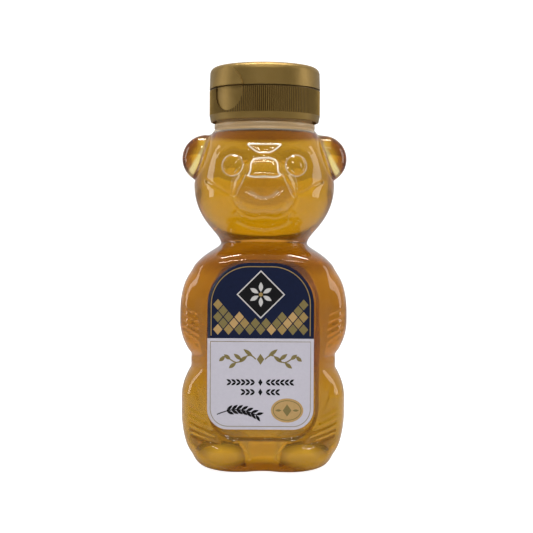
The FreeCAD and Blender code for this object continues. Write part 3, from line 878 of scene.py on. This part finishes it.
# Buff oval with a ring and a lozenge at the lower right, and a black ear of wheat at the lower left
OVAL_X, OVAL_Z, OVAL_HALVES = 9.3, 22.9, (5.6, 4.2)
RING_HALVES, RING_RULE = (4.8, 3.4), 0.25
OVAL_BUD, OVAL_LEAF, OVAL_LEAF_START = (1.5, 2.1), (2.2, 0.8), 1.9
lay_ink("buff_ink", 0, round_outline(OVAL_X, OVAL_Z, *OVAL_HALVES))
ring = round_outline(OVAL_X, OVAL_Z, *RING_HALVES)
lay_rule("olive_ink", 1, ring + ring[:1], RING_RULE)
lay_ink("olive_ink", 1, lozenge(OVAL_X, OVAL_Z, *OVAL_BUD))
for side in (-1, 1):
    turn = 0 if side > 0 else 180
    lay_ink("olive_ink", 1, leaf(OVAL_X + side * OVAL_LEAF_START, OVAL_Z, *OVAL_LEAF, turn))
WHEAT_X, WHEAT_Z, WHEAT_LENGTH, WHEAT_ARCH, WHEAT_STEM = -15.0, 21.4, 13.4, 1.7, 0.36
WHEAT_GRAIN, WHEAT_GRAIN_WIDTH, WHEAT_SPLAY = 2.9, 1.0, 34
WHEAT_POINTS, WHEAT_BARE, WHEAT_LEAN, WHEAT_DROOP = 9, 2, 22, 5.5
wheat = []
for share in np.linspace(0, 1, WHEAT_POINTS):
    wheat.append((WHEAT_X + WHEAT_LENGTH * share, WHEAT_Z + WHEAT_ARCH * math.sin(math.pi * share)))
lay_rule("black_ink", 0, wheat, WHEAT_STEM)
for i in range(WHEAT_BARE, WHEAT_POINTS):
    lean = WHEAT_LEAN - WHEAT_DROOP * i
    for turn in (WHEAT_SPLAY, -WHEAT_SPLAY):
        lay_ink("black_ink", 1, leaf(*wheat[i], WHEAT_GRAIN, WHEAT_GRAIN_WIDTH, turn + lean))

# Thin olive rule round the paper's lower part
BORDER_INSET, BORDER_RULE = 1.1, 0.2
foot = rounded_outline(half, LABEL_LOW, FIELD_LOW, LABEL_FOOT_R, 0, BORDER_INSET)
corner_count = RULE_STEPS + 1
border_x, border_z = half - BORDER_INSET, FIELD_LOW - BORDER_INSET
border = [(-border_x, border_z)] + foot[-corner_count:] + foot[:corner_count] + [(border_x, border_z)]
lay_rule("olive_ink", 0, border + border[:1], BORDER_RULE)
label = add_mesh("printed_label", label_points, label_faces, 30)
label.data.polygons.foreach_set("material_index", label_inks)

# Uncoated paper is a matt, cool white with a mottled, fibrous grain, which shows through the thin ink. The
# gold, olive and buff inks carry metal powder and shine a little. Real fibres are too fine to show, so they
# are drawn coarser.
GRAIN_SIZE, FIBRE_SIZE, FIBRE_H = 0.9, 0.25, 0.03
for name, dark, light, roughness, metal in FINISHES:
    ink, tree, place = new_material(name)
    grain = add_node(
        tree,
        "ShaderNodeTexNoise",
        {"Vector": place, "Scale": 1 / (GRAIN_SIZE * MM), "Detail": 5.0, "Roughness": 0.65},
    )
    tint = add_node(
        tree,
        "ShaderNodeMix",
        {"Factor": grain.outputs[0], "A": linear(dark), "B": linear(light)},
        data_type="RGBA",
    )
    fibre = add_node(
        tree, "ShaderNodeTexNoise", {"Vector": place, "Scale": 1 / (FIBRE_SIZE * MM), "Detail": 2.0}
    )
    tooth = add_node(
        tree, "ShaderNodeBump", {"Height": fibre.outputs[0], "Strength": 0.3, "Distance": FIBRE_H * MM}
    )
    shader = add_node(
        tree,
        "ShaderNodeBsdfPrincipled",
        {
            "Base Color": tint.outputs["Result"],
            "Metallic": metal,
            "Roughness": roughness,
            "Specular IOR Level": 0.2,
            "Normal": tooth.outputs[0],
        },
    )
    add_node(tree, "ShaderNodeOutputMaterial", {"Surface": shader.outputs[0]})
    label.data.materials.append(ink)
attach(label, "bottle")
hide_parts("front_label")

# Sealing washer: a ring punched out of white foam sheet and pressed up under the cap's deck, where it seals
# the bottle's lip. The CAD piece is kept.
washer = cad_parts["sealing_washer"]

# Cut polyethylene foam is matt white and pitted with fine closed cells, with painted shade a little darker
# towards the bottoms of the pits.
PORE_SIZE, PORE_DEPTH = 0.35, 0.08
foam, tree, place = new_material("white_pe_foam")
pores = add_node(tree, "ShaderNodeTexVoronoi", {"Vector": place, "Scale": 1 / (PORE_SIZE * MM)})
pitting = add_node(
    tree,
    "ShaderNodeBump",
    {"Height": pores.outputs["Distance"], "Strength": 0.5, "Distance": PORE_DEPTH * MM},
)
# Painted shade: the colour is darker where the pits are deepest.
tint = add_node(
    tree,
    "ShaderNodeMix",
    {"Factor": pores.outputs["Distance"], "A": linear("#D8D8D8"), "B": linear("#EFF0F4")},
    data_type="RGBA",
)
shader = add_node(
    tree,
    "ShaderNodeBsdfPrincipled",
    {"Base Color": tint.outputs["Result"], "Roughness": 0.8, "Normal": pitting.outputs[0]},
)
add_node(tree, "ShaderNodeOutputMaterial", {"Surface": shader.outputs[0]})
washer.data.materials.clear()
washer.data.materials.append(foam)

# Screw cap: injection-moulded in polypropylene that is coloured with gold flake, with a finely ribbed skirt.
# The CAD piece is kept; the thread bead inside its skirt, which grips under the neck's thread, is added here.
CAP_BORE = 37.8
GRIP_PROUD = 1.05
GRIP_SINK = 0.06
GRIP_HALF = 0.8
GRIP_FOOT, GRIP_CREST = 0.9, 0.45
GRIP_TURNS = (0.5, 1.75)
GRIP_END, GRIP_FADE = 0.15, 0.06
GRIP_STEPS = 140
grip_points = []
grip_faces = []
for i in range(GRIP_STEPS + 1):
    share = i / GRIP_STEPS
    turn = GRIP_TURNS[0] + (GRIP_TURNS[1] - GRIP_TURNS[0]) * share
    swell = GRIP_END + (1 - GRIP_END) * float(ease(share / GRIP_FADE) * ease((1 - share) / GRIP_FADE))
    z = THREAD_LOW + THREAD_PITCH * (turn - 0.5)
    crest_reach = -GRIP_PROUD * swell
    profile = (
        (GRIP_SINK, -GRIP_FOOT),
        (crest_reach, -GRIP_CREST),
        (crest_reach, GRIP_CREST),
        (GRIP_SINK, GRIP_FOOT),
    )
    for outwards, up in profile:
        reach = CAP_BORE / 2 + outwards
        angle = 2 * math.pi * turn
        grip_points.append((reach * math.cos(angle), reach * math.sin(angle), z + up * GRIP_HALF))
    if i < GRIP_STEPS:
        for k in range(4):
            here, after = 4 * i + k, 4 * i + (k + 1) % 4
            grip_faces.append((here, here + 4, after + 4, after))
grip_faces.append((0, 1, 2, 3))
grip_faces.append(tuple(4 * GRIP_STEPS + k for k in (3, 2, 1, 0)))
grip = add_mesh("cap_thread", grip_points, grip_faces, 40)

# Gold polypropylene looks satin: the flake glitters faintly, the flow of the melt leaves soft lighter streaks
# and no reflection is sharp. Real flake is too fine to show, so it is drawn coarser. The grooves between the
# ribs are too fine for their own shade to show, so they have a darker tint.
FLAKE_SIZE, STREAK_SIZE = 0.22, 9.0
GROOVE_RADIUS, GROOVE_HALF = 19.68, 0.15
RIB_MIDDLE, RIB_HALF = 131.1, 4.6
gold, tree, place = new_material("gold_polypropylene")
flake = add_node(tree, "ShaderNodeTexVoronoi", {"Vector": place, "Scale": 1 / (FLAKE_SIZE * MM)})
streak = add_node(
    tree,
    "ShaderNodeTexNoise",
    {"Vector": place, "Scale": 1 / (STREAK_SIZE * MM), "Detail": 4.0, "Distortion": 1.5},
)
flow = add_node(
    tree,
    "ShaderNodeMix",
    {"Factor": streak.outputs[0], "A": linear("#82672E"), "B": linear("#987C44")},
    data_type="RGBA",
)
round_axis = add_node(tree, "ShaderNodeVectorMath", {0: place, 1: (1, 1, 0)}, operation="MULTIPLY")
radius = add_node(tree, "ShaderNodeVectorMath", {0: round_axis.outputs[0]}, operation="LENGTH")
in_groove = add_node(
    tree,
    "ShaderNodeMath",
    {0: radius.outputs["Value"], 1: GROOVE_RADIUS * MM, 2: GROOVE_HALF * MM},
    operation="COMPARE",
)
level = add_node(tree, "ShaderNodeSeparateXYZ", {0: place})
in_band = add_node(
    tree,
    "ShaderNodeMath",
    {0: level.outputs["Z"], 1: RIB_MIDDLE * MM, 2: RIB_HALF * MM},
    operation="COMPARE",
)
shade = add_node(
    tree, "ShaderNodeMath", {0: in_groove.outputs[0], 1: in_band.outputs[0]}, operation="MULTIPLY"
)
ribbed = add_node(
    tree,
    "ShaderNodeMix",
    {"Factor": shade.outputs[0], "A": flow.outputs["Result"], "B": linear("#5A4520")},
    data_type="RGBA",
)
glitter = add_node(
    tree,
    "ShaderNodeMapRange",
    {"Value": flake.outputs["Color"], "From Min": 0.0, "From Max": 1.0, "To Min": 0.34, "To Max": 0.5},
)
shader = add_node(
    tree,
    "ShaderNodeBsdfPrincipled",
    {
        "Base Color": ribbed.outputs["Result"],
        "Metallic": 0.7,
        "Roughness": glitter.outputs[0],
    },
)
add_node(tree, "ShaderNodeOutputMaterial", {"Surface": shader.outputs[0]})
grip.data.materials.append(gold)
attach(grip, "cap")
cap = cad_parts["cap_base"]
cap.data.materials.clear()
cap.data.materials.append(gold)

# Flip lid: moulded together with the cap in the same gold polypropylene, with a shield-shaped thumb lip over
# the recess and a plug inside that closes the pour hole. The CAD piece is kept.
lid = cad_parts["flip_lid"]
lid.data.materials.clear()
lid.data.materials.append(gold)

# Living hinge: the web that the cap and the lid share at the back, thinned along the seam so that it can bend
# there thousands of times. It is one with both, so it has their material.
HINGE_TURN = 48.0
HINGE_INNER, HINGE_T, HINGE_THIN = 20.05, 0.6, 0.3
HINGE_WIDTH, HINGE_LOW, HINGE_HIGH, SEAM_Z = 11.0, 133.3, 138.0, 135.65
GROOVE_FLAT, GROOVE_FADE, BEND_HALF = 0.25, 0.5, 0.7
HINGE_COLUMNS, HINGE_ROWS = 12, 28
hinge_points = []
hinge_faces = []
for z in np.linspace(HINGE_LOW, HINGE_HIGH, HINGE_ROWS):
    groove = (HINGE_T - HINGE_THIN) * float(1 - ease((abs(z - SEAM_Z) - GROOVE_FLAT) / GROOVE_FADE))
    for across in np.linspace(-HINGE_WIDTH / 2, HINGE_WIDTH / 2, HINGE_COLUMNS):
        turn = math.radians(HINGE_TURN) + math.asin(across / (HINGE_INNER + HINGE_T))
        for reach in (HINGE_INNER, HINGE_INNER + HINGE_T - groove):
            hinge_points.append((reach * math.cos(turn), reach * math.sin(turn), z))
row_size = 2 * HINGE_COLUMNS
for row in range(HINGE_ROWS - 1):
    for column in range(HINGE_COLUMNS - 1):
        here = row * row_size + 2 * column
        hinge_faces.append((here, here + row_size, here + row_size + 2, here + 2))
        hinge_faces.append((here + 1, here + 3, here + row_size + 3, here + row_size + 1))
    for side, flip in ((0, 1), (row_size - 2, -1)):
        here = row * row_size + side
        hinge_faces.append((here, here + 1, here + row_size + 1, here + row_size)[::flip])
for row, flip in ((0, 1), (HINGE_ROWS - 1, -1)):
    for column in range(HINGE_COLUMNS - 1):
        here = row * row_size + 2 * column
        hinge_faces.append((here, here + 2, here + 3, here + 1)[::flip])
hinge = add_mesh("hinge_web", hinge_points, hinge_faces, 40)
hinge.data.materials.append(gold)
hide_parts("living_hinge")
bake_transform(hinge)

# Floor: a plain white sweep of matt paper, which the camera sees as white and which keeps the bear's shadow.
# Clear things show some of that white too.
FLOOR_SIZE = 6000.0
SEEN_GLOW, BEHIND_GLOW = 0.95, 0.25
half = FLOOR_SIZE / 2
floor_corners = [(-half, -half, 0), (half, -half, 0), (half, half, 0), (-half, half, 0)]
floor = add_mesh("floor", floor_corners, [(0, 1, 2, 3)], 30)
sweep, tree, place = new_material("white_sweep")
ray = add_node(tree, "ShaderNodeLightPath")
behind = add_node(
    tree, "ShaderNodeMath", {0: ray.outputs["Is Transmission Ray"], 1: BEHIND_GLOW}, operation="MULTIPLY"
)
level = add_node(
    tree,
    "ShaderNodeMath",
    {0: ray.outputs["Is Camera Ray"], 1: SEEN_GLOW, 2: behind.outputs[0]},
    operation="MULTIPLY_ADD",
)
matt = add_node(tree, "ShaderNodeBsdfDiffuse", {"Color": linear("#A8A8A8")})
glow = add_node(tree, "ShaderNodeEmission", {"Color": linear("#FFFFFF"), "Strength": level.outputs[0]})
both = add_node(tree, "ShaderNodeAddShader", {0: matt.outputs[0], 1: glow.outputs[0]})
add_node(tree, "ShaderNodeOutputMaterial", {"Surface": both.outputs[0]})
floor.data.materials.append(sweep)

# Studio: a white surround behind the bear, a dimmer room in front, two soft lamps beside it and two strips
# overhead. The room is half as bright in reflections, so that they don't veil the honey.
ROOM_FROM, ROOM_TO, ROOM_LIFT = -0.1, 1.12, 0.5
ROOM_FRONT, ROOM_BACK, MIRRORED_SHARE = 0.45, 1.3, 0.5
world = bpy.data.worlds.new("studio")
bpy.context.scene.world = world
world.use_nodes = True
tree = world.node_tree
tree.nodes.clear()
ray = add_node(tree, "ShaderNodeLightPath")
direction = add_node(tree, "ShaderNodeTexCoord")
towards = add_node(tree, "ShaderNodeSeparateXYZ", {0: direction.outputs["Generated"]})
lift = add_node(
    tree,
    "ShaderNodeMath",
    {0: towards.outputs["Z"], 1: ROOM_LIFT, 2: towards.outputs["Y"]},
    operation="MULTIPLY_ADD",
)
room = add_node(
    tree,
    "ShaderNodeMapRange",
    {
        "Value": lift.outputs[0],
        "From Min": ROOM_FROM,
        "From Max": ROOM_TO,
        "To Min": ROOM_FRONT,
        "To Max": ROOM_BACK,
    },
)
mirrored = add_node(
    tree,
    "ShaderNodeMath",
    {0: ray.outputs["Is Glossy Ray"], 1: ray.outputs["Is Transmission Ray"]},
    operation="SUBTRACT",
    use_clamp=True,
)
share = add_node(
    tree,
    "ShaderNodeMath",
    {0: mirrored.outputs[0], 1: MIRRORED_SHARE - 1, 2: 1.0},
    operation="MULTIPLY_ADD",
)
seen = add_node(tree, "ShaderNodeMath", {0: room.outputs[0], 1: share.outputs[0]}, operation="MULTIPLY")
strength = add_node(
    tree, "ShaderNodeMath", {0: ray.outputs["Is Camera Ray"], 1: seen.outputs[0]}, operation="MAXIMUM"
)
background = add_node(tree, "ShaderNodeBackground", {"Color": (1, 1, 1, 1), "Strength": strength.outputs[0]})
add_node(tree, "ShaderNodeOutputWorld", {"Surface": background.outputs[0]})

# Lamps: place, width, length and watts, all aimed at the bear's middle
AIM_Z = 75
LAMPS = (
    ("left_softbox", (-580, 30, 240), 160, 420, 0.6),
    ("right_softbox", (580, 0, 240), 240, 420, 0.75),
    ("overhead_strip", (0, 0, 560), 420, 50, 2.5),
    ("front_strip", (0, -470, 480), 520, 24, 1.2),
)
for name, spot, width, length, watts in LAMPS:
    data = bpy.data.lights.new(name, "AREA")
    data.energy = watts
    data.shape = "RECTANGLE"
    data.size = width * MM
    data.size_y = length * MM
    lamp = bpy.data.objects.new(name, data)
    bpy.context.collection.objects.link(lamp)
    lamp.location = mathutils.Vector(spot) * MM
    aim = mathutils.Vector((0, 0, AIM_Z)) * MM - lamp.location
    lamp.rotation_euler = aim.to_track_quat("-Z", "Y").to_euler()

# Camera: level with the bear's chin and a little above its middle, as the picture was taken.
IMAGE_SIZE = 533
PIXEL = 0.3643
AXIS_PIXEL = 263.8
FLOOR_PIXEL = 464.0
HORIZON_PIXEL = 230.0
CAMERA_DISTANCE = 420.0
LEAN = 0.35
camera_data = bpy.data.cameras.new("camera")
camera_data.angle = 2 * math.atan(IMAGE_SIZE * PIXEL / 2 / CAMERA_DISTANCE)
camera = bpy.data.objects.new("camera", camera_data)
bpy.context.collection.objects.link(camera)
sideways = (IMAGE_SIZE / 2 - AXIS_PIXEL) * PIXEL
eye = mathutils.Vector((sideways, -CAMERA_DISTANCE, (FLOOR_PIXEL - HORIZON_PIXEL) * PIXEL))
target = mathutils.Vector((sideways, 0, (FLOOR_PIXEL - IMAGE_SIZE / 2) * PIXEL))
camera.location = eye * MM
lean = mathutils.Matrix.Rotation(math.radians(LEAN), 3, "Z")
camera.rotation_euler = ((target - eye).to_track_quat("-Z", "Y").to_matrix() @ lean).to_euler()
bpy.context.scene.camera = camera
